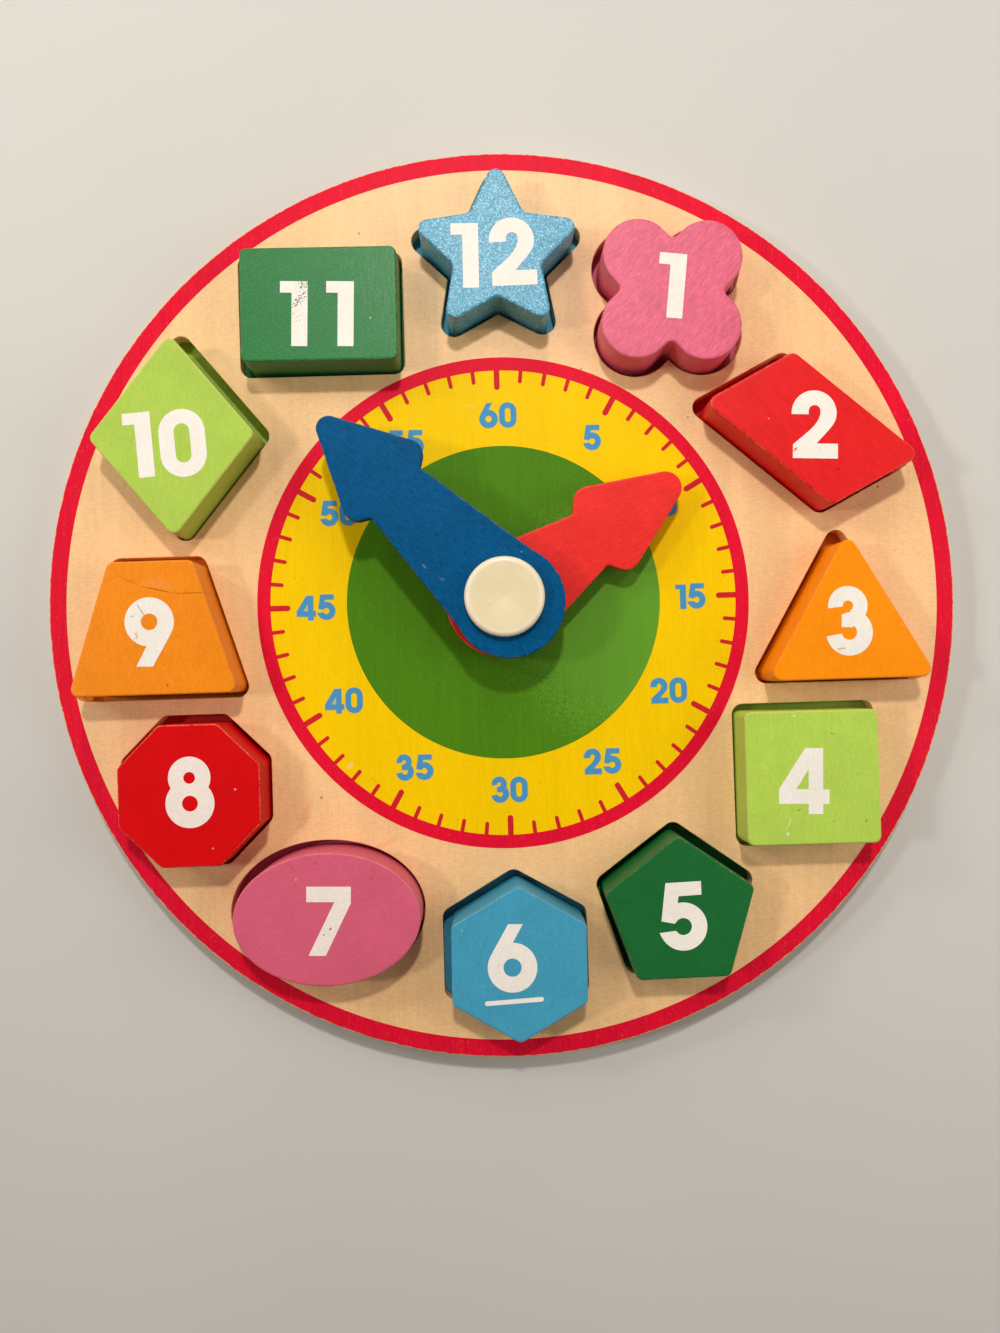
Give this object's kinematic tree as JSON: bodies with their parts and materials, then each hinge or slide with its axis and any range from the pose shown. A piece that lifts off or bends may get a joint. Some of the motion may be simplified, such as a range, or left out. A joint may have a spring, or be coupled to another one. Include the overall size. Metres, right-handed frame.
{
  "type": "shape sorting clock",
  "caption": "Round wooden clock puzzle with a lift-out numbered shape block in a socket at each hour and two hands that turn on a centre button.",
  "frame": {"origin": "centre of the board's back face, which the clock lies on", "axes": "+Z out of the dial, +Y towards twelve o'clock, +X towards three o'clock"},
  "size_m": [0.235, 0.235, 0.0258],
  "materials": {
    "pink_paint": "satin",
    "red_paint": "satin",
    "orange_paint": "satin",
    "light_green_paint": "satin",
    "dark_green_paint": "satin",
    "sky_blue_paint": "satin",
    "backing_ply": "raw",
    "face_ply": "satin",
    "hour_hand_paint": "satin",
    "minute_hand_paint": "satin",
    "washer_nylon": "matte",
    "cream_plastic": "gloss"
  },
  "bodies": {
    "board": {"base_board": "backing_ply", "face_board": "face_ply", "lower_washer": "washer_nylon", "upper_washer": "washer_nylon", "centre_button": "cream_plastic", "rear_socket": "cream_plastic"},
    "hour_hand": {"hour_hand": "hour_hand_paint"},
    "minute_hand": {"minute_hand": "minute_hand_paint"},
    "quatrefoil_block_1": {"quatrefoil_block_1": "pink_paint"},
    "parallelogram_block_2": {"parallelogram_block_2": "red_paint"},
    "triangle_block_3": {"triangle_block_3": "orange_paint"},
    "square_block_4": {"square_block_4": "light_green_paint"},
    "pentagon_block_5": {"pentagon_block_5": "dark_green_paint"},
    "hexagon_block_6": {"hexagon_block_6": "sky_blue_paint"},
    "oval_block_7": {"oval_block_7": "pink_paint"},
    "octagon_block_8": {"octagon_block_8": "red_paint"},
    "trapezoid_block_9": {"trapezoid_block_9": "orange_paint"},
    "rhombus_block_10": {"rhombus_block_10": "light_green_paint"},
    "rectangle_block_11": {"rectangle_block_11": "dark_green_paint"},
    "star_block_12": {"star_block_12": "sky_blue_paint"}
  },
  "joints": [
    {"name": "hour_hand_turn", "type": "hinge", "parent": "board", "child": "hour_hand", "pos_m": [0, 0, 0.0123], "axis": [0, 0, -1], "continuous": true},
    {"name": "minute_hand_turn", "type": "hinge", "parent": "board", "child": "minute_hand", "pos_m": [0, 0, 0.0196], "axis": [0, 0, -1], "continuous": true},
    {"name": "quatrefoil_lift_1", "type": "slide", "parent": "board", "child": "quatrefoil_block_1", "axis": [0, 0, 1], "range_m": [0, 0.03]},
    {"name": "parallelogram_lift_2", "type": "slide", "parent": "board", "child": "parallelogram_block_2", "axis": [0, 0, 1], "range_m": [0, 0.03]},
    {"name": "triangle_lift_3", "type": "slide", "parent": "board", "child": "triangle_block_3", "axis": [0, 0, 1], "range_m": [0, 0.03]},
    {"name": "square_lift_4", "type": "slide", "parent": "board", "child": "square_block_4", "axis": [0, 0, 1], "range_m": [0, 0.03]},
    {"name": "pentagon_lift_5", "type": "slide", "parent": "board", "child": "pentagon_block_5", "axis": [0, 0, 1], "range_m": [0, 0.03]},
    {"name": "hexagon_lift_6", "type": "slide", "parent": "board", "child": "hexagon_block_6", "axis": [0, 0, 1], "range_m": [0, 0.03]},
    {"name": "oval_lift_7", "type": "slide", "parent": "board", "child": "oval_block_7", "axis": [0, 0, 1], "range_m": [0, 0.03]},
    {"name": "octagon_lift_8", "type": "slide", "parent": "board", "child": "octagon_block_8", "axis": [0, 0, 1], "range_m": [0, 0.03]},
    {"name": "trapezoid_lift_9", "type": "slide", "parent": "board", "child": "trapezoid_block_9", "axis": [0, 0, 1], "range_m": [0, 0.03]},
    {"name": "rhombus_lift_10", "type": "slide", "parent": "board", "child": "rhombus_block_10", "axis": [0, 0, 1], "range_m": [0, 0.03]},
    {"name": "rectangle_lift_11", "type": "slide", "parent": "board", "child": "rectangle_block_11", "axis": [0, 0, 1], "range_m": [0, 0.03]},
    {"name": "star_lift_12", "type": "slide", "parent": "board", "child": "star_block_12", "axis": [0, 0, 1], "range_m": [0, 0.03]}
  ]
}
